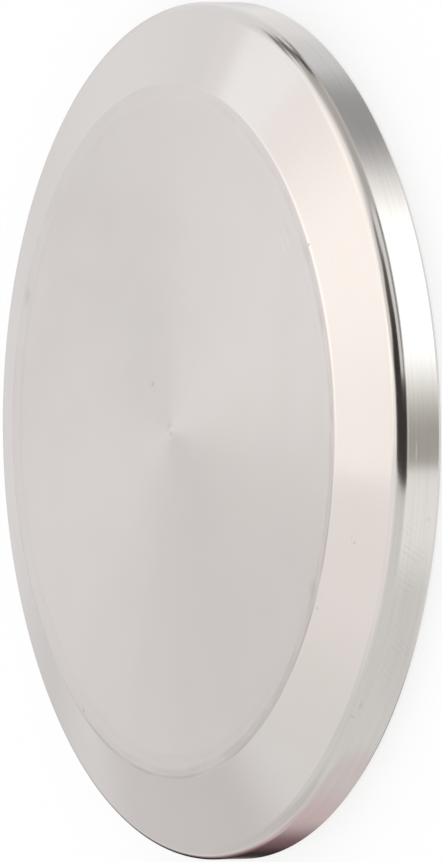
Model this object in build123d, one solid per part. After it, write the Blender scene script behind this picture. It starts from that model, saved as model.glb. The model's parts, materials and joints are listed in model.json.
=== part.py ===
from build123d import *

import math
import os

# Sanitary clamp end cap: a solid stainless disc that blanks off a clamp ferrule.
#
# The cap is turned from one piece of bar, so it is one solid. It lies on its
# sealing face, with its axis along +Z and its origin in the middle of that face.
# Above the lip, a bevel takes the clamp's jaws and rises to a round flat boss.
# Below, a rounded groove in the sealing face takes the bead of the gasket.
# All sizes are in millimetres.

# Lip: the rim of the flange, which the clamp closes on
flange_diameter = 50.5
lip_thickness = 2.85  # up to the sharp corner between the rim and the bevel
lip_corner_radius = 0.85  # rounds that corner
face_edge_break = 0.25  # chamfer between the rim and the sealing face

# Bevel: the cone that the clamp's jaws ride up
bevel_angle = 20.0  # degrees, measured from the sealing face
bevel_width = 4.75  # across the cone, from the rim to the boss

# Boss: the flat top, which polishing has turned down a little at its edge
turned_down_width = 1.3
turned_down_depth = 0.04

# Gasket groove in the sealing face
groove_inset = 3.5  # from the rim to the middle of the groove
groove_radius = 2.4
groove_depth = 1.6
groove_edge_break = 0.15  # chamfer along both edges of the groove

flange_radius = flange_diameter / 2
boss_radius = flange_radius - bevel_width
flat_radius = boss_radius - turned_down_width
boss_edge_height = lip_thickness + bevel_width * math.tan(math.radians(bevel_angle))
cap_height = boss_edge_height + turned_down_depth

# Points of the half section, as (distance from the axis, height)
face_edge = (flange_radius, 0)
lip_corner = (flange_radius, lip_thickness)
boss_edge = (boss_radius, boss_edge_height)
flat_edge = (flat_radius, cap_height)
groove_centre = (flange_radius - groove_inset, groove_depth - groove_radius)


def corner_at(section: Sketch, point: tuple) -> Vertex:
    """Finds the corner of a flat section that lies nearest to a point."""
    return section.vertices().sort_by_distance((*point, 0))[0]


def blank_section() -> Sketch:
    """Half section of the turned blank: lip, bevel, boss edge and flat."""
    outline = Polyline((0, cap_height), (0, 0), face_edge, lip_corner, boss_edge)
    outline += TangentArc(flat_edge, boss_edge, tangent=(1, 0))
    outline += Line(flat_edge, (0, cap_height))
    section = make_face(outline)
    section = chamfer(corner_at(section, face_edge), face_edge_break)
    return fillet(corner_at(section, lip_corner), lip_corner_radius)


def grooved_section(section: Sketch) -> Sketch:
    """Cuts the gasket groove into the sealing face and breaks its two edges."""
    section -= Pos(*groove_centre) * Circle(groove_radius)
    half_mouth = math.sqrt(groove_radius**2 - groove_centre[1] ** 2)
    for side in (-1, 1):
        mouth_edge = (groove_centre[0] + side * half_mouth, 0)
        section = chamfer(corner_at(section, mouth_edge), groove_edge_break)
    return section


def end_cap() -> Part:
    """The whole cap: its half section turned once about the Z axis."""
    section = Plane.XZ * grooved_section(blank_section())
    cap = revolve(section, Axis.Z)
    cap.label = "end_cap"
    return cap


os.makedirs("parts", exist_ok=True)
export_step(end_cap(), "parts/end_cap.step")
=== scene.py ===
"""Dresses the sanitary clamp end cap: one turned stainless disc, its finishes and a plain studio."""
import json
import logging
import math
from dataclasses import dataclass, field
from enum import Enum
from typing import Any, Iterator

import bpy
from mathutils import Matrix, Vector


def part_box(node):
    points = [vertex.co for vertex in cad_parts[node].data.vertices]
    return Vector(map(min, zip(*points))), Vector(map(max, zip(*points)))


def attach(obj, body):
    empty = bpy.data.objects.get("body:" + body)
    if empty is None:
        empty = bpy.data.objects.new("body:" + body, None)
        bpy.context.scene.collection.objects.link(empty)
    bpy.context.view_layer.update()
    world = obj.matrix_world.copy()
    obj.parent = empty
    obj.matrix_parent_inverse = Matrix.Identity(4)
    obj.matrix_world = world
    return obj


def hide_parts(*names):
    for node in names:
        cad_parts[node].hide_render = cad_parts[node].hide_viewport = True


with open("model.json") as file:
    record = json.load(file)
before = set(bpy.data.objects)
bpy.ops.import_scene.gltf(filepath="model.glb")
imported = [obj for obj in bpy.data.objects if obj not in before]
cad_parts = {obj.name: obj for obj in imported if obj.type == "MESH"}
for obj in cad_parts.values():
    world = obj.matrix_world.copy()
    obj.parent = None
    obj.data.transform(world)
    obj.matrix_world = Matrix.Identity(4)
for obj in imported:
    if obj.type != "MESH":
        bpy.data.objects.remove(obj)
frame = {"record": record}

MM = 0.001
NODE = "end_cap"
BODY = "root"

Colour = tuple[float, float, float]
Point = tuple[float, float]
Place = tuple[float, float, float]

BLACK: Colour = (0.0, 0.0, 0.0)
WHITE: Colour = (1.0, 1.0, 1.0)
STEEL: Colour = (0.665, 0.631, 0.610)

log = logging.getLogger("end_cap")


class Zone(Enum):
    """The stretches of the cap that are finished apart."""

    BOSS = 0
    BEVEL = 1
    RIM = 2
    SEALING_FACE = 3


# ---------------------------------------------------------------- node trees


class Graph:
    """Adds nodes to a tree and wires them, a line at a time."""

    def __init__(self, tree: bpy.types.NodeTree) -> None:
        """Starts on a tree.

        Args:
            tree: The tree that takes the nodes.
        """
        self.tree = tree

    def add(self, kind: str, sockets: dict[str | int, Any] | None = None, **options: Any) -> bpy.types.Node:
        """Adds one node.

        Args:
            kind: The node's type, as Blender names it.
            sockets: Values or other nodes' outputs for the node's inputs, by name or place.
            **options: Properties of the node.

        Returns:
            The new node.
        """
        node = self.tree.nodes.new(kind)
        for name, value in options.items():
            setattr(node, name, value)
        for key, value in (sockets or {}).items():
            self.feed(node.inputs[key], value)
        return node

    def feed(self, socket: bpy.types.NodeSocket, value: Any) -> None:
        """Wires an output to an input, or sets the input to a plain value.

        Args:
            socket: The input.
            value: An output socket, or a value of the input's own kind.
        """
        if isinstance(value, bpy.types.NodeSocket):
            self.tree.links.new(value, socket)
        else:
            socket.default_value = value

    def math(self, operation: str, *values: Any) -> bpy.types.NodeSocket:
        """Adds a Math node.

        Args:
            operation: The node's operation.
            *values: Up to three numbers or outputs.

        Returns:
            The result.
        """
        return self.add("ShaderNodeMath", dict(enumerate(values)), operation=operation).outputs[0]

    def vector(self, operation: str, *values: Any) -> bpy.types.Node:
        """Adds a Vector Math node.

        Args:
            operation: The node's operation.
            *values: Up to three vectors or outputs.

        Returns:
            The node, because its result is in a different output for each operation.
        """
        return self.add("ShaderNodeVectorMath", dict(enumerate(values)), operation=operation)

    def fade(
        self, value: Any, start: float, end: float, low: float = 0.0, high: float = 1.0
    ) -> bpy.types.NodeSocket:
        """Adds a smooth step.

        Args:
            value: The number to read.
            start: Where the result leaves low.
            end: Where the result reaches high.
            low: The result before the start.
            high: The result after the end.

        Returns:
            The result.
        """
        sockets = {"Value": value, "From Min": start, "From Max": end, "To Min": low, "To Max": high}
        return self.add("ShaderNodeMapRange", sockets, interpolation_type="SMOOTHSTEP").outputs["Result"]

    def window(self, value: Any, centre: float, half_width: float, softness: float) -> bpy.types.NodeSocket:
        """Adds a mask that is 1 round a centre and fades to 0 at both sides.

        Args:
            value: The number to read.
            centre: The middle of the mask.
            half_width: From the centre to the middle of each fade.
            softness: The width of each fade.

        Returns:
            The mask.
        """
        away = self.math("ABSOLUTE", self.math("SUBTRACT", value, centre))
        return self.fade(away, half_width - softness / 2, half_width + softness / 2, 1.0, 0.0)

    def noise(self, place: Any, fineness: float, detail: float) -> bpy.types.NodeSocket:
        """Adds a noise.

        Args:
            place: Where it is read.
            fineness: How many of its patches fit in one unit.
            detail: How many finer layers it has.

        Returns:
            The noise, from 0 to 1 and mostly near 0.5.
        """
        sockets = {"Vector": place, "Scale": fineness, "Detail": detail}
        return self.add("ShaderNodeTexNoise", sockets).outputs["Fac"]

    def azimuth(self, axes: bpy.types.bpy_prop_collection) -> bpy.types.NodeSocket:
        """Finds which side of the Z axis a point is on.

        Args:
            axes: The point's X, Y and Z.

        Returns:
            Degrees: 0 at -Y and 90 at -X.
        """
        forward = self.math("MULTIPLY", axes["Y"], -1.0)
        aside = self.math("MULTIPLY", axes["X"], -1.0)
        return self.math("DEGREES", self.math("ARCTAN2", aside, forward))

    def mix(self, share: Any, first: Any, second: Any) -> bpy.types.NodeSocket:
        """Adds a colour mix.

        Args:
            share: How much of the second colour, from 0 to 1.
            first: A colour or output.
            second: A colour or output.

        Returns:
            The mixed colour.
        """
        sockets = {"Factor_Float": share, "A_Color": rgba(first), "B_Color": rgba(second)}
        node = self.add("ShaderNodeMix", data_type="RGBA")
        for socket in node.inputs:
            if socket.identifier in sockets:
                self.feed(socket, sockets[socket.identifier])
        return next(socket for socket in node.outputs if socket.identifier == "Result_Color")


def rgba(colour: Any) -> Any:
    """Gives a plain colour its alpha, and passes an output through.

    Args:
        colour: Three numbers, or an output socket.

    Returns:
        Four numbers, or the same output socket.
    """
    return colour if isinstance(colour, bpy.types.NodeSocket) else (*colour, 1.0)


def empty_graph(owner: bpy.types.Material | bpy.types.World) -> Graph:
    """Gives a material or a world an empty tree.

    Args:
        owner: The material or world.

    Returns:
        A graph on its tree.
    """
    owner.use_nodes = True
    owner.node_tree.nodes.clear()
    return Graph(owner.node_tree)


# ---------------------------------------------------------------- finishes


@dataclass(frozen=True)
class Mark:
    """A speck, smudge or scratch on the steel, or a painted highlight, placed as on a drawing of the cap.

    A place is a distance from the axis in mm, an azimuth in degrees and a height in mm. Azimuth 0 is -Y
    and 90 is -X. The reach is how far the mark goes each way from its place, in the same units.
    """

    place: Place
    reach: Place
    strength: float  # share of the way to the mark's colour at its middle
    colour: Colour = (0.10, 0.085, 0.08)
    core: float = 0.3  # share of the reach that has the full strength

    def cover(self, graph: Graph, unrolled: bpy.types.NodeSocket, steel: Any) -> bpy.types.NodeSocket:
        """Puts the mark on the steel.

        Args:
            graph: The material's tree.
            unrolled: Distance from the axis, azimuth and height.
            steel: The colour under the mark.

        Returns:
            The colour with the mark on it.
        """
        offset = graph.vector("SUBTRACT", unrolled, self.place).outputs[0]
        share = graph.vector("DIVIDE", offset, self.reach).outputs[0]
        away = graph.vector("LENGTH", share).outputs["Value"]
        return graph.mix(graph.fade(away, self.core, 1.0, self.strength, 0.0), steel, self.colour)


@dataclass(frozen=True)
class Hatch:
    """A patch of short, slanted strokes that handling left on the rim."""

    place: Place
    reach: Place
    spacing: float = 0.34  # mm between strokes
    slant: float = 35.0  # degrees from the rim's edge
    strength: float = 0.16
    drift: float = 1.5  # spacings by which the strokes stray from even
    drift_fineness: float = 0.45  # how quickly they stray
    colour: Colour = (0.12, 0.12, 0.11)

    def cover(self, graph: Graph, unrolled: bpy.types.NodeSocket, steel: Any) -> bpy.types.NodeSocket:
        """Puts the strokes on the steel.

        Args:
            graph: The material's tree.
            unrolled: Distance from the axis, azimuth and height.
            steel: The colour under the strokes.

        Returns:
            The colour with the strokes on it.
        """
        offset = graph.vector("SUBTRACT", unrolled, self.place).outputs[0]
        share = graph.vector("DIVIDE", offset, self.reach).outputs[0]
        away = graph.vector("LENGTH", share).outputs["Value"]
        axes = graph.add("ShaderNodeSeparateXYZ", {"Vector": offset}).outputs
        lean = math.radians(self.slant)
        along = graph.math("MULTIPLY", axes["Y"], math.radians(self.place[0]) * math.sin(lean))
        across = graph.math("MULTIPLY", axes["Z"], math.cos(lean))
        run = graph.math("DIVIDE", graph.math("ADD", along, across), self.spacing)
        wander = graph.noise(offset, self.drift_fineness, 2.0)
        phase = graph.math("FRACT", graph.math("ADD", run, graph.math("MULTIPLY", wander, self.drift)))
        stroke = graph.window(phase, 0.5, 0.16, 0.2)
        patch = graph.fade(away, 0.4, 1.0, self.strength, 0.0)
        patch = graph.math("MULTIPLY", patch, graph.fade(wander, 0.4, 0.6))
        return graph.mix(graph.math("MULTIPLY", stroke, patch), steel, self.colour)


@dataclass(frozen=True)
class DarkRing:
    """A darker ring of uneven width about the axis, thicker on one side."""

    radius: float  # mm from the axis to the middle of the ring
    half_width: float
    azimuth: float  # the side where it is thickest
    strength: float
    grain: float = 14.0  # degrees, the length of its patches
    grain_fineness: float = 2.0  # patches to a mm across the ring
    colour: Colour = (0.20, 0.15, 0.14)

    def cover(self, graph: Graph, unrolled: bpy.types.NodeSocket, steel: Any) -> bpy.types.NodeSocket:
        """Puts the ring on the steel.

        Args:
            graph: The material's tree.
            unrolled: Distance from the axis, azimuth and height.
            steel: The colour under the ring.

        Returns:
            The colour with the ring on it.
        """
        axes = graph.add("ShaderNodeSeparateXYZ", {"Vector": unrolled}).outputs
        track = graph.vector("MULTIPLY", unrolled, (self.grain_fineness, 1 / self.grain, 0.0)).outputs[0]
        patches = graph.noise(track, 1.0, 3.0)
        ring = graph.window(axes["X"], self.radius, self.half_width, self.half_width)
        turned = graph.math("RADIANS", graph.math("SUBTRACT", axes["Y"], self.azimuth))
        side = graph.fade(graph.math("COSINE", turned), -0.5, 0.8, 0.15, 1.0)
        share = graph.math("MULTIPLY", graph.fade(patches, 0.38, 0.62, 0.3, 1.0), side)
        share = graph.math("MULTIPLY", share, self.strength)
        return graph.mix(graph.math("MULTIPLY", ring, share), steel, self.colour)


@dataclass(frozen=True)
class SteelFinish:
    """Bare stainless steel as one tool leaves it: rings, a spread sheen, what handling adds and, on the
    bevel, a painted highlight.
    """

    name: str
    colour: Colour
    roughness: float
    roughness_spread: float
    anisotropy: float
    ring_pitch: float  # mm between turning marks
    ring_depth: float  # mm
    mottle: float  # share by which the colour drifts
    streaks: float = 0.0  # share by which long marks along the lathe's track darken the steel
    coning: float = 0.0  # degrees by which the lathe faced it a little conical
    # What goes on the colour: marks, strokes, darker rings and, on the bevel, a painted highlight line
    wear_and_painted_light: tuple[Mark | Hatch | DarkRing, ...] = ()
    cloud_fineness: float = 110.0  # clouds of colour to a metre
    polish_fineness: float = 260.0  # clouds of uneven polish to a metre
    streak_fineness: Place = (7.0, 0.06, 7.0)  # to a mm out, a degree round and a mm up
    ring_fineness: Place = (1.0, 0.02, 1.0)  # the same, for how quickly the turning marks change

    def material(self) -> bpy.types.Material:
        """Builds the finish as a material.

        Returns:
            The material.
        """
        made = bpy.data.materials.new(self.name)
        graph = empty_graph(made)
        place = graph.add("ShaderNodeTexCoord").outputs["Object"]
        unrolled = self.unroll(graph, place)
        shader = graph.add(
            "ShaderNodeBsdfPrincipled",
            {
                "Base Color": self.colour_with_marks_and_painted_light(graph, place, unrolled),
                "Metallic": 1.0,
                "Roughness": self.roughness_drift(graph, place),
                "Anisotropic": self.anisotropy,
                "Anisotropic Rotation": 0.25,
                "Tangent": graph.add("ShaderNodeTangent", direction_type="RADIAL", axis="Z").outputs[0],
                "Normal": self.rings(graph, unrolled),
            },
        )
        graph.add("ShaderNodeOutputMaterial", {"Surface": shader.outputs["BSDF"]})
        return made

    def unroll(self, graph: Graph, place: bpy.types.NodeSocket) -> bpy.types.NodeSocket:
        """Turns a point on the cap into drawing terms.

        Args:
            graph: The material's tree.
            place: The point on the cap, in metres.

        Returns:
            Distance from the axis in mm, azimuth in degrees and height in mm.
        """
        scaled = graph.vector("SCALE", place)
        scaled.inputs["Scale"].default_value = 1 / MM
        axes = graph.add("ShaderNodeSeparateXYZ", {"Vector": scaled.outputs[0]}).outputs
        flat = graph.vector("MULTIPLY", scaled.outputs[0], (1.0, 1.0, 0.0)).outputs[0]
        across = graph.vector("LENGTH", flat).outputs["Value"]
        sockets = {"X": across, "Y": graph.azimuth(axes), "Z": axes["Z"]}
        return graph.add("ShaderNodeCombineXYZ", sockets).outputs[0]

    def colour_with_marks_and_painted_light(
        self, graph: Graph, place: bpy.types.NodeSocket, unrolled: bpy.types.NodeSocket
    ) -> bpy.types.NodeSocket:
        """Lets the steel's colour drift a little, then adds the streaks, the marks, the darker rings and
        the painted highlight.

        Args:
            graph: The material's tree.
            place: The point on the cap.
            unrolled: The same point in drawing terms.

        Returns:
            The colour.
        """
        cloud = graph.noise(place, self.cloud_fineness, 3.0)
        steel = graph.mix(graph.fade(cloud, 0.3, 0.7, self.mottle, 0.0), self.colour, BLACK)
        if self.streaks:
            track = graph.vector("MULTIPLY", unrolled, self.streak_fineness).outputs[0]
            lines = graph.noise(track, 1.0, 4.0)
            steel = graph.mix(graph.fade(lines, 0.42, 0.68, 0.0, self.streaks), steel, BLACK)
        for item in self.wear_and_painted_light:
            steel = item.cover(graph, unrolled, steel)
        return steel

    def roughness_drift(self, graph: Graph, place: bpy.types.NodeSocket) -> bpy.types.NodeSocket:
        """Lets the roughness drift where the polish is uneven.

        Args:
            graph: The material's tree.
            place: The point on the cap.

        Returns:
            The roughness.
        """
        cloud = graph.noise(place, self.polish_fineness, 2.0)
        spread = self.roughness_spread
        return graph.fade(cloud, 0.3, 0.7, self.roughness - spread, self.roughness + spread)

    def rings(self, graph: Graph, unrolled: bpy.types.NodeSocket) -> bpy.types.NodeSocket:
        """Cuts the turning marks: rings of uneven depth about the axis.

        Args:
            graph: The material's tree.
            unrolled: Distance from the axis, azimuth and height.

        Returns:
            The normal of the marked surface.
        """
        track = graph.vector("MULTIPLY", unrolled, self.ring_fineness).outputs[0]
        height = graph.math("MULTIPLY", graph.noise(track, 1 / self.ring_pitch, 2.0), self.ring_depth)
        if self.coning:
            across = graph.add("ShaderNodeSeparateXYZ", {"Vector": unrolled}).outputs["X"]
            fall = graph.math("MULTIPLY", across, math.tan(math.radians(self.coning)))
            height = graph.math("SUBTRACT", height, fall)
        sockets = {"Strength": 1.0, "Distance": MM, "Height": height}
        return graph.add("ShaderNodeBump", sockets).outputs["Normal"]


FINISHES: dict[Zone, SteelFinish] = {
    Zone.BOSS: SteelFinish(
        "turned_boss_steel", STEEL, roughness=0.22, roughness_spread=0.02, anisotropy=0.90,
        ring_pitch=0.25, ring_depth=0.0003, mottle=0.03, coning=2.0,
        wear_and_painted_light=(
            # Darker rings of uneven width close to the boss's edge
            DarkRing(radius=20.4, half_width=0.10, azimuth=70.0, strength=0.24),
            DarkRing(radius=20.1, half_width=0.24, azimuth=25.0, strength=0.14, grain=8.0),
            DarkRing(radius=19.3, half_width=0.25, azimuth=150.0, strength=0.05, grain=25.0),
            Mark((3.55, -128.0, 4.6), (0.20, 4.0, 1.0), 0.18, (0.25, 0.06, 0.05)),
            Mark((3.6, -128.0, 4.6), (1.1, 12.0, 1.0), 0.03, (0.4, 0.1, 0.1), core=0.0),
            Mark((19.95, -156.0, 4.6), (0.55, 2.6, 1.0), 0.16, (0.25, 0.10, 0.16), core=0.0),
            Mark((20.1, -31.0, 4.6), (0.7, 3.5, 1.0), 0.07, core=0.0),
            Mark((20.15, -18.5, 4.6), (0.35, 3.0, 1.0), 0.10, core=0.0),
            Mark((20.2, -3.0, 4.6), (0.3, 3.0, 1.0), 0.10, core=0.0),
            Mark((19.8, 27.5, 4.6), (0.5, 2.4, 1.0), 0.12, core=0.0),
            Mark((20.15, 125.0, 4.6), (0.2, 0.6, 1.0), 0.2),
            Mark((18.0, -37.0, 4.6), (0.10, 4.0, 1.0), 0.08, WHITE),
            Mark((18.6, -36.0, 4.6), (0.10, 3.0, 1.0), 0.08, WHITE),
            Mark((19.0, -38.0, 4.6), (0.12, 3.0, 1.0), 0.06),
        ),
    ),
    Zone.BEVEL: SteelFinish(
        "polished_bevel_steel", STEEL, roughness=0.13, roughness_spread=0.02, anisotropy=0.6,
        ring_pitch=0.4, ring_depth=0.0002, mottle=0.02, streaks=0.006,
        wear_and_painted_light=(
            # Painted highlight: a light line on the bevel along the boss's edge, in place of the edge
            # catching light
            Mark((20.60, -29.0, 4.55), (0.11, 40.0, 1.0), 0.25, (0.95, 0.92, 0.88), core=0.5),
            Mark((22.44, 17.0, 3.87), (0.13, 0.35, 1.0), 0.20),
            Mark((22.2, 16.4, 3.9), (0.08, 0.9, 1.0), 0.07),
            Mark((20.57, -31.5, 4.55), (0.12, 0.35, 1.0), 0.4),
            Mark((20.75, 30.0, 4.5), (0.15, 0.45, 1.0), 0.14),
        ),
    ),
    Zone.RIM: SteelFinish(
        "polished_rim_steel", STEEL, roughness=0.15, roughness_spread=0.03, anisotropy=0.5,
        ring_pitch=0.16, ring_depth=0.0004, mottle=0.03, streaks=0.04,
        wear_and_painted_light=(
            Hatch((25.25, 17.5, 1.6), (2.0, 9.0, 1.2), slant=58.0, strength=0.065),
            Hatch((25.25, 31.0, 1.4), (2.0, 9.0, 1.2), slant=48.0, strength=0.04),
            Mark((25.1, 41.6, 2.7), (0.3, 0.35, 0.15), 0.16),
            Mark((25.2, 39.5, 2.5), (0.3, 0.9, 0.15), 0.10),
            Mark((25.25, 12.0, 0.7), (0.5, 0.5, 0.2), 0.08),
            Mark((25.25, 3.0, 1.75), (0.5, 1.9, 0.07), 0.5, WHITE, core=0.3),
            Mark((25.25, 26.0, 1.1), (0.6, 16.0, 1.1), 0.05, core=0.0),
        ),
    ),
    Zone.SEALING_FACE: SteelFinish(
        "fine_turned_sealing_steel", STEEL, roughness=0.24, roughness_spread=0.02, anisotropy=0.8,
        ring_pitch=0.2, ring_depth=0.0004, mottle=0.02,
    ),
}


# ---------------------------------------------------------------- the cap


@dataclass
class EndCap:
    """The turned cap. Heights are above the sealing face and sizes are in millimetres."""

    flange_radius: float
    height: float
    rim_bottom: float  # where the rim's cylinder starts, above its broken edge
    rim_top: float  # where it ends, below its rounded corner

    lip_corner_radius: float = 0.85
    bevel_width: float = 4.75
    turned_down_width: float = 1.3
    turned_down_depth: float = 0.04
    turned_down_steps: int = 8
    boss_edge_radius: float = 0.25
    pip_radius: float = 0.08  # the flat on the stub that the facing tool leaves in the middle
    pip_slope: float = 0.22  # across the slope round it
    pip_depth: float = 0.018
    small_edge_radius: float = 0.08

    groove_inset: float = 3.5
    groove_radius: float = 2.4
    groove_depth: float = 1.6
    groove_edge_break: float = 0.15

    segments: int = 600
    arc_step: float = 7.0  # degrees of an arc to each facet
    brace: float = 0.05  # from an edge to the ring that keeps the flat beside it flat
    face_rings: float = 2.0  # between the rings of a wide flat
    weld: float = 0.002  # points closer than this are one

    materials: dict[Zone, bpy.types.Material] = field(default_factory=dict)

    @classmethod
    def from_frame(cls) -> "EndCap":
        """Takes the cap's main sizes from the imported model.

        Returns:
            The cap, with its other sizes as they are cut.
        """
        low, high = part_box(NODE)
        rim = next(mount for mount in frame["record"]["mounts"] if mount["name"] == "flange_rim")
        middle = rim["pos_m"][2] / MM
        length = rim["dims"]["length_mm"]
        return cls(
            flange_radius=rim["dims"]["r_mm"],
            height=(high.z - low.z) / MM,
            rim_bottom=middle - length / 2,
            rim_top=middle + length / 2,
        )

    @property
    def boss_radius(self) -> float:
        """Radius of the boss at its edge."""
        return self.flange_radius - self.bevel_width

    @property
    def boss_edge_height(self) -> float:
        """Height of the boss at its edge."""
        return self.height - self.turned_down_depth

    def rounded(self, before: Point, corner: Point, after: Point, radius: float) -> list[Point]:
        """Rounds one corner of the section.

        Args:
            before: A point on the run that comes in.
            corner: The sharp corner.
            after: A point on the run that goes out.
            radius: The radius of the arc.

        Returns:
            The points of the arc.
        """
        tip = Vector(corner)
        back = (Vector(before) - tip).normalized()
        on = (Vector(after) - tip).normalized()
        half = back.angle(on) / 2
        centre = tip + (back + on).normalized() * (radius / math.sin(half))
        start = tip + back * (radius / math.tan(half)) - centre
        sweep = -start.angle_signed(tip + on * (radius / math.tan(half)) - centre)
        steps = max(2, round(abs(math.degrees(sweep)) / self.arc_step))
        return [tuple(centre + Matrix.Rotation(sweep * i / steps, 2) @ start) for i in range(steps + 1)]

    def boss_section(self) -> list[Point]:
        """Section of the boss, from the axis out to its edge.

        Returns:
            Points as (distance from the axis, height).
        """
        pip_foot = self.pip_radius + self.pip_slope
        pip = [(0.0, self.height), (self.pip_radius, self.height)]
        pip += [(pip_foot, self.height - self.pip_depth), (pip_foot + self.pip_slope, self.height)]
        flat_radius = self.boss_radius - self.turned_down_width
        width, depth = self.turned_down_width, self.turned_down_depth
        sweep_radius = (width**2 + depth**2) / (2 * depth)
        steps = self.turned_down_steps
        turned_down = []
        for i in range(steps):
            out = width * i / steps
            fall = sweep_radius - math.sqrt(sweep_radius**2 - out**2)
            turned_down.append((flat_radius + out, self.height - fall))
        return pip + turned_down

    def lip_section(self) -> list[Point]:
        """Section of the boss's edge, the bevel, the rim and its broken edge.

        Returns:
            Points as (distance from the axis, height).
        """
        inner = self.boss_section()[-1]
        boss_edge = (self.boss_radius, self.boss_edge_height)
        tangent = self.lip_corner_radius * math.tan(self.corner_turn / 2)
        lip_corner = (self.flange_radius, self.rim_top + tangent)
        rim_foot = (self.flange_radius, self.rim_bottom)
        face_edge = (self.flange_radius - self.rim_bottom, 0.0)
        points = self.rounded(inner, boss_edge, lip_corner, self.boss_edge_radius)
        points += self.rounded(boss_edge, lip_corner, rim_foot, self.lip_corner_radius)
        points += self.rounded(lip_corner, rim_foot, face_edge, self.small_edge_radius)
        return points + self.rounded(rim_foot, face_edge, (0.0, 0.0), self.small_edge_radius)

    @property
    def corner_turn(self) -> float:
        """Angle that the section turns through at the lip's corner.

        The turn and the room that its arc takes up depend on each other, so they are settled in rounds.

        Returns:
            The angle in radians.
        """
        rise = self.boss_edge_height - self.rim_top
        first_guess, rounds = math.radians(70.0), 20
        turn = first_guess
        for _ in range(rounds):
            lip = self.lip_corner_radius * math.tan(turn / 2)
            turn = math.pi / 2 - math.atan2(rise - lip, self.bevel_width)
        return turn

    def groove_section(self) -> list[Point]:
        """Section of the gasket groove, from its outer edge to its inner one.

        Returns:
            Points as (distance from the axis, height).
        """
        middle = self.flange_radius - self.groove_inset
        below = self.groove_radius - self.groove_depth
        mouth = math.acos(below / self.groove_radius)
        broken = self.groove_edge_break / self.groove_radius
        sweep = mouth - broken
        steps = round(math.degrees(2 * sweep) / self.arc_step)
        half_mouth = self.groove_radius * math.sin(mouth) + self.groove_edge_break
        arc = []
        for i in range(steps + 1):
            turn = sweep * (1 - 2 * i / steps)
            across = middle + self.groove_radius * math.sin(turn)
            arc.append((across, self.groove_radius * math.cos(turn) - below))
        return [(middle + half_mouth, 0.0), *arc, (middle - half_mouth, 0.0)]

    def section(self) -> list[Point]:
        """Whole half section, from the axis over the boss and rim and back along the sealing face.

        Returns:
            Points as (distance from the axis, height), with the rings that brace the flats.
        """
        corners = [*self.boss_section(), *self.lip_section(), *self.groove_section(), (0.0, 0.0)]
        return list(self.braced(corners))

    def braced(self, corners: list[Point]) -> Iterator[Point]:
        """Adds points along the straight runs: one close to each end, and more on wide flats.

        Args:
            corners: The section's own points.

        Yields:
            The points with the added ones between them.
        """
        for start, end in zip(corners, corners[1:]):
            yield start
            run = Vector(end) - Vector(start)
            if run.length < 4 * self.brace:
                continue
            inner = max(1, round(run.length / self.face_rings))
            close = self.brace / run.length
            shares = [close, *(i / inner for i in range(1, inner)), 1 - close]
            for share in shares:
                yield tuple(Vector(start) + run * share)
        yield corners[-1]

    def zone_at(self, point: Point) -> Zone:
        """Tells which finish a point of the section has.

        Args:
            point: Distance from the axis and height.

        Returns:
            The zone.
        """
        across, height = point
        if across < self.boss_radius and height > self.boss_edge_height - self.turned_down_depth:
            return Zone.BOSS
        in_groove = across < self.flange_radius - self.rim_bottom and height < self.rim_top
        if height < self.rim_bottom / 2 or in_groove:
            return Zone.SEALING_FACE
        return Zone.RIM if across > self.flange_radius - self.lip_corner_radius else Zone.BEVEL

    def profile(self) -> bpy.types.Object:
        """Lays the half section out as a chain of points, each with its zone.

        Returns:
            The object that the lathe turns.
        """
        points = self.section()
        middles = [tuple((Vector(a) + Vector(b)) / 2) for a, b in zip(points, points[1:])]
        zones = [self.zone_at(point).value for point in middles]
        mesh = bpy.data.meshes.new("end_cap_section")
        chain = [(i, i + 1) for i in range(len(points) - 1)]
        mesh.from_pydata([(across * MM, 0.0, height * MM) for across, height in points], chain, [])
        mesh.attributes.new("zone", "INT", "POINT").data.foreach_set("value", [*zones, zones[-1]])
        return bpy.data.objects.new("end_cap_section", mesh)

    def build(self) -> bpy.types.Object:
        """Turns the section into the cap.

        Returns:
            The finished piece, at the origin.
        """
        self.materials = {zone: finish.material() for zone, finish in FINISHES.items()}
        blank = self.profile()
        bpy.context.scene.collection.objects.link(blank)
        lathe = Lathe().tree()
        modifier = blank.modifiers.new("lathe", "NODES")
        modifier.node_group = lathe
        values = {"Segments": self.segments, "Weld": self.weld * MM}
        values |= {zone.name: self.materials[zone] for zone in Zone}
        for item in lathe.interface.items_tree:
            if item.in_out == "INPUT" and item.name in values:
                modifier[item.identifier] = values[item.name]
        bpy.context.view_layer.update()
        evaluated = blank.evaluated_get(bpy.context.evaluated_depsgraph_get())
        mesh = bpy.data.meshes.new_from_object(evaluated)
        mesh.name = "end_cap_turned"
        blank.modifiers.remove(modifier)
        bpy.data.objects.remove(blank)
        piece = bpy.data.objects.new("end_cap_turned", mesh)
        bpy.context.scene.collection.objects.link(piece)
        return piece


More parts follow.
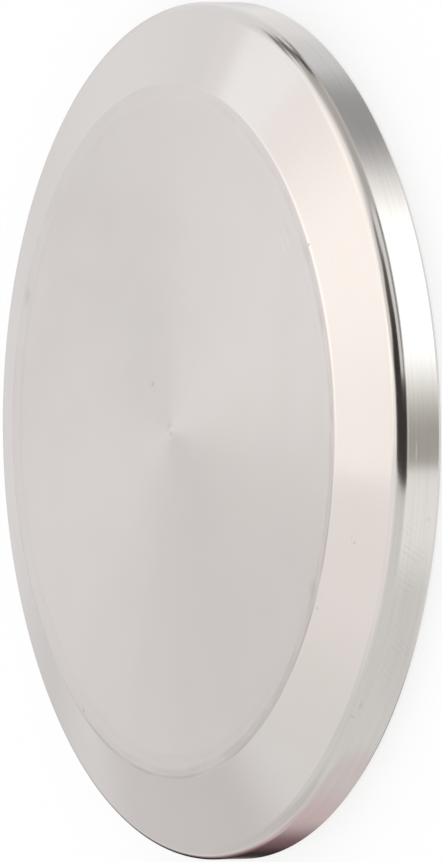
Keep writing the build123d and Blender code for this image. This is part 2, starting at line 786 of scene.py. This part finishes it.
class Lathe:
    """Geometry Nodes that turn a chain of points about the Z axis into a closed solid."""

    def tree(self) -> bpy.types.NodeTree:
        """Builds the tree.

        Returns:
            The tree. Its inputs are the section, the segments, the weld distance and a finish for
            each zone.
        """
        tree = bpy.data.node_groups.new("lathe", "GeometryNodeTree")
        face = tree.interface
        face.new_socket("Cap", in_out="OUTPUT", socket_type="NodeSocketGeometry")
        face.new_socket("Section", in_out="INPUT", socket_type="NodeSocketGeometry")
        face.new_socket("Segments", in_out="INPUT", socket_type="NodeSocketInt")
        face.new_socket("Weld", in_out="INPUT", socket_type="NodeSocketFloat")
        for zone in Zone:
            face.new_socket(zone.name, in_out="INPUT", socket_type="NodeSocketMaterial")
        graph = Graph(tree)
        given = graph.add("NodeGroupInput").outputs
        solid = self.turned(graph, given)
        sockets = {"Geometry": solid, "Distance": given["Weld"]}
        solid = graph.add("GeometryNodeMergeByDistance", sockets).outputs[0]
        solid = graph.add("GeometryNodeSetShadeSmooth", {"Geometry": solid}).outputs[0]
        solid = graph.add("GeometryNodeRealizeInstances", {"Geometry": solid}).outputs[0]
        solid = self.dressed(graph, given, solid)
        graph.add("NodeGroupOutput", {"Cap": solid})
        return tree

    def turned(self, graph: Graph, given: bpy.types.bpy_prop_collection) -> bpy.types.NodeSocket:
        """Bends a grid round the axis: a row for each point of the section, a column for each segment.

        Args:
            graph: The tree.
            given: The tree's inputs.

        Returns:
            The turned grid, open along its seam.
        """
        counts = graph.add("GeometryNodeAttributeDomainSize", {"Geometry": given["Section"]}).outputs
        columns = graph.math("ADD", given["Segments"], 1.0)
        sockets = {"Vertices X": counts["Point Count"], "Vertices Y": columns}
        grid = graph.add("GeometryNodeMeshGrid", sockets).outputs["Mesh"]
        index = graph.add("GeometryNodeInputIndex").outputs[0]
        row = graph.math("FLOOR", graph.math("DIVIDE", index, columns))
        column = graph.math("SUBTRACT", index, graph.math("MULTIPLY", row, columns))
        step = graph.math("DIVIDE", 2 * math.pi, given["Segments"])
        own_place = graph.add("GeometryNodeInputPosition").outputs[0]
        sockets = {"Geometry": given["Section"], "Value": own_place, "Index": row}
        point = graph.add("GeometryNodeSampleIndex", sockets, data_type="FLOAT_VECTOR").outputs["Value"]
        sockets = {"Vector": point, "Angle": graph.math("MULTIPLY", column, step)}
        turned = graph.add("ShaderNodeVectorRotate", sockets, rotation_type="Z_AXIS").outputs[0]
        moved = graph.add("GeometryNodeSetPosition", {"Geometry": grid, "Position": turned}).outputs[0]
        strip = graph.math("FLOOR", graph.math("DIVIDE", index, given["Segments"]))
        sockets = {"Geometry": given["Section"], "Value": self.own_zone(graph), "Index": strip}
        zone = graph.add("GeometryNodeSampleIndex", sockets, data_type="INT").outputs["Value"]
        sockets = {"Geometry": moved, "Name": "zone", "Value": zone}
        store = graph.add("GeometryNodeStoreNamedAttribute", sockets, data_type="INT", domain="FACE")
        return store.outputs[0]

    def own_zone(self, graph: Graph) -> bpy.types.NodeSocket:
        """Reads the zone that a point or a face carries."""
        reader = graph.add("GeometryNodeInputNamedAttribute", {"Name": "zone"}, data_type="INT")
        return reader.outputs["Attribute"]

    def dressed(
        self, graph: Graph, given: bpy.types.bpy_prop_collection, solid: bpy.types.NodeSocket
    ) -> bpy.types.NodeSocket:
        """Gives each zone its finish.

        Args:
            graph: The tree.
            given: The tree's inputs.
            solid: The closed solid.

        Returns:
            The dressed solid.
        """
        carried = self.own_zone(graph)
        for zone in Zone:
            pair = {2: carried, 3: zone.value}
            chosen = graph.add("FunctionNodeCompare", pair, data_type="INT", operation="EQUAL").outputs[0]
            sockets = {"Geometry": solid, "Selection": chosen, "Material": given[zone.name]}
            solid = graph.add("GeometryNodeSetMaterial", sockets).outputs[0]
        return solid


# ---------------------------------------------------------------- the studio


@dataclass(frozen=True)
class Card:
    """A soft-edged card far away, which only the polished steel sees.

    Azimuth 0 is the camera's side, -Y, and 90 is -X. Everything is in degrees, from the middle of
    one fade to the middle of the next.
    """

    azimuths: Point
    elevations: Point
    light: Colour
    fade_across: float = 4.0
    fade_up: float = 4.0

    def mask(
        self, graph: Graph, azimuth: bpy.types.NodeSocket, elevation: bpy.types.NodeSocket
    ) -> bpy.types.NodeSocket:
        """Builds the card's outline.

        Args:
            graph: The world's tree.
            azimuth: The azimuth that is looked at.
            elevation: The elevation that is looked at.

        Returns:
            A mask that is 1 on the card.
        """
        start, end = self.azimuths
        low, high = self.elevations
        away = graph.math("WRAP", graph.math("SUBTRACT", azimuth, (start + end) / 2), 180.0, -180.0)
        wide = graph.window(away, 0.0, (end - start) / 2, self.fade_across)
        tall = graph.window(elevation, (low + high) / 2, (high - low) / 2, self.fade_up)
        return graph.math("MULTIPLY", wide, tall)


@dataclass
class Studio:
    """A white floor under an even sky, and the cards that the steel mirrors."""

    cards: tuple[Card, ...]
    floor_size: float = 8.0  # metres
    floor_gap: float = 0.00002  # metres under the cap
    floor_glow: float = 0.7  # how far the camera sees the floor without its shadow

    def light_sky(self) -> None:
        """Builds the world: even white light, with the cards for the steel."""
        world = bpy.data.worlds.new("studio")
        graph = empty_graph(world)
        bpy.context.scene.world = world
        world.cycles.sampling_method = "NONE"
        place = graph.add("ShaderNodeTexCoord").outputs["Generated"]
        axes = graph.add("ShaderNodeSeparateXYZ", {"Vector": place}).outputs
        azimuth = graph.azimuth(axes)
        elevation = graph.math("DEGREES", graph.math("ARCSINE", axes["Z"]))
        light: Any = WHITE
        for card in self.cards:
            light = graph.mix(card.mask(graph, azimuth, elevation), light, card.light)
        glossy = graph.add("ShaderNodeLightPath").outputs["Is Glossy Ray"]
        seen = graph.mix(glossy, WHITE, light)
        background = graph.add("ShaderNodeBackground", {"Color": seen, "Strength": 1.0})
        graph.add("ShaderNodeOutputWorld", {"Surface": background.outputs[0]})

    def lay_floor(self) -> bpy.types.Object:
        """Lays the floor just under the cap.

        Returns:
            The floor.
        """
        half = self.floor_size / 2
        mesh = bpy.data.meshes.new("floor")
        outline = ((-half, -half), (half, -half), (half, half), (-half, half))
        corners = [(x, y, -self.floor_gap) for x, y in outline]
        mesh.from_pydata(corners, [], [(0, 1, 2, 3)])
        floor = bpy.data.objects.new("floor", mesh)
        bpy.context.scene.collection.objects.link(floor)
        mesh.materials.append(self.floor_material())
        return floor

    def floor_material(self) -> bpy.types.Material:
        """Builds the floor's material: matt white, and clear from below and to the rays from the steel.

        Returns:
            The material.
        """
        made = bpy.data.materials.new("studio_floor")
        graph = empty_graph(made)
        path = graph.add("ShaderNodeLightPath").outputs
        matt = graph.add("ShaderNodeBsdfDiffuse", {"Color": rgba(WHITE)}).outputs[0]
        glow = graph.add("ShaderNodeEmission", {"Color": rgba(WHITE)}).outputs[0]
        share = graph.math("MULTIPLY", path["Is Camera Ray"], self.floor_glow)
        shown = graph.add("ShaderNodeMixShader", {0: share, 1: matt, 2: glow}).outputs[0]
        clear = graph.add("ShaderNodeBsdfTransparent").outputs[0]
        below = graph.add("ShaderNodeNewGeometry").outputs["Backfacing"]
        passed = graph.math("MAXIMUM", path["Is Glossy Ray"], below)
        shared = graph.add("ShaderNodeMixShader", {0: passed, 1: shown, 2: clear}).outputs[0]
        graph.add("ShaderNodeOutputMaterial", {"Surface": shared})
        made.cycles.emission_sampling = "NONE"
        return made


@dataclass(frozen=True)
class Camera:
    """A long lens that looks down on the cap, turned on its side."""

    elevation: float = 27.696  # degrees above the floor
    roll: float = -0.640  # degrees past a quarter turn
    distance: float = 1.18  # metres
    view_height: float = 0.050806  # metres seen from edge to edge of the frame's long side
    aside: float = 0.001103  # metres that the cap stands to the right of the middle
    above: float = 0.000030  # metres that it stands above the middle
    sensor: float = 36.0
    sight: float = 100.0  # metres, as far as it sees

    def place(self) -> bpy.types.Object:
        """Sets the camera up.

        Returns:
            The camera.
        """
        tilt = math.radians(self.elevation)
        back = Vector((0.0, -math.cos(tilt), math.sin(tilt)))
        right = Vector((0.0, -math.sin(tilt), -math.cos(tilt)))
        up = back.cross(right)
        turn = math.radians(self.roll)
        rolled_right = right * math.cos(turn) + up * math.sin(turn)
        rolled_up = up * math.cos(turn) - right * math.sin(turn)
        data = bpy.data.cameras.new("camera")
        data.sensor_width = self.sensor
        data.lens = self.sensor * self.distance / self.view_height
        data.clip_end = self.sight
        camera = bpy.data.objects.new("camera", data)
        bpy.context.scene.collection.objects.link(camera)
        place = back * self.distance - rolled_right * self.aside - rolled_up * self.above
        axes = Matrix((rolled_right, rolled_up, back)).transposed()
        camera.matrix_world = Matrix.Translation(place) @ axes.to_4x4()
        bpy.context.scene.camera = camera
        return camera


STUDIO = Studio(
    cards=(
        # Behind the cap: a brighter, warmer ceiling over one half, and a duller wall at the other
        Card((-190.0, 11.0), (31.0, 120.0), (1.25, 1.26, 1.28), 2.0, 4.0),
        Card((-190.0, 11.0), (41.5, 120.0), (1.23, 1.19, 1.175), 2.0, 1.5),
        Card((-190.0, 11.0), (51.0, 120.0), (1.46, 1.41, 1.365), 2.0, 14.0),
        Card((-190.0, 11.0), (75.0, 120.0), (1.70, 1.62, 1.48), 2.0, 6.0),
        Card((-181.0, 181.0), (83.0, 120.0), (1.12, 1.10, 1.09), 1.0, 5.0),
        Card((165.0, 195.0), (50.0, 76.0), (1.34, 1.30, 1.26), 20.0, 14.0),
        Card((11.0, 170.0), (45.0, 120.0), (1.13, 1.09, 1.075), 2.0, 12.0),
        Card((11.0, 150.0), (-45.0, 60.0), (0.90, 0.91, 0.89), 2.0, 20.0),
        Card((105.0, 173.0), (3.0, 35.0), (0.80, 0.785, 0.785), 16.0, 11.0),
        Card((160.0, 200.0), (-45.0, 0.0), (0.82, 0.81, 0.81), 14.0, 24.0),
        # What the slightly conical top mirrors: a lighter half and a duller one
        Card((179.5, 204.0), (27.5, 46.0), (1.07, 1.055, 1.085), 1.0, 1.5),
        Card((161.5, 179.5), (24.0, 46.0), (0.86, 0.845, 0.845), 1.0, 4.0),
        # On the camera's side: the plain room, with the dull things that the lip's corner mirrors
        Card((-75.0, 11.0), (-20.0, 77.0), (0.95, 0.96, 0.96), 20.0, 3.0),
        Card((-130.0, -96.0), (-45.0, -10.0), (0.88, 0.90, 0.91), 10.0, 30.0),
        Card((-136.0, -100.0), (44.0, 84.0), (1.53, 1.47, 1.40), 10.0, 10.0),
        Card((-110.0, -58.0), (-18.0, 27.0), (0.60, 0.58, 0.555), 8.0, 32.0),
        Card((-128.0, -120.0), (13.0, 28.0), (0.15, 0.15, 0.15), 4.0, 5.0),
        Card((-121.0, -110.0), (0.0, 16.0), (0.15, 0.15, 0.15), 4.0, 5.0),
        Card((-114.0, -103.0), (-14.0, 3.0), (0.12, 0.12, 0.12), 4.0, 5.0),
        Card((-122.0, -113.0), (-21.0, -13.0), (0.20, 0.20, 0.20), 4.0, 3.0),
        Card((-60.0, -46.0), (26.0, 44.0), (0.25, 0.24, 0.22), 8.0, 8.0),
        Card((-48.0, -30.0), (20.0, 54.0), (0.10, 0.09, 0.08), 5.0, 6.0),
        Card((-32.0, -10.0), (16.0, 66.0), (0.05, 0.045, 0.04), 4.0, 5.0),
        Card((-58.0, -10.0), (-18.0, -4.0), (0.28, 0.28, 0.27), 6.0, 5.0),
        # Below, where the rim looks: bright strips with dull ones between them, and a dark red-brown end
        Card((-20.0, 38.0), (-45.0, -14.0), (1.13, 1.15, 1.13), 18.0, 12.0),
        Card((98.0, 150.0), (-45.0, -6.0), (0.84, 0.79, 0.79), 10.0, 20.0),
        Card((-108.5, -77.5), (-45.0, -20.0), (0.45, 0.46, 0.47), 20.0, 8.0),
        Card((-40.0, 10.5), (-45.0, -23.5), (0.45, 0.435, 0.39), 1.5, 3.0),
        Card((-65.0, -11.5), (-45.0, -20.0), (1.78, 1.84, 1.82), 27.0, 6.0),
        Card((118.0, 170.0), (-45.0, -6.0), (0.78, 0.65, 0.66), 16.0, 20.0),
        Card((138.0, 170.0), (-45.0, -8.0), (0.22, 0.13, 0.14), 18.0, 20.0),
        Card((153.5, 172.0), (-45.0, -8.0), (0.03, 0.02, 0.02), 13.0, 20.0),
        # The dark curtain that the lip's corner mirrors
        Card((-13.0, 15.0), (-18.0, 68.0), (0.05, 0.045, 0.04), 3.0, 5.0),
    ),
)


def main() -> None:
    """Builds the cap and the studio."""
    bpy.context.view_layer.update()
    cap = EndCap.from_frame()
    piece = cap.build()
    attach(piece, BODY)
    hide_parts(NODE)
    log.info("cap: %d points in its section, %d faces", len(cap.section()), len(piece.data.polygons))
    STUDIO.light_sky()
    STUDIO.lay_floor()
    Camera().place()
    log.info("studio: %d cards", len(STUDIO.cards))
    bpy.context.scene.view_settings.view_transform = "Standard"


if __name__ == "__main__":
    logging.basicConfig(level=logging.INFO)
    main()
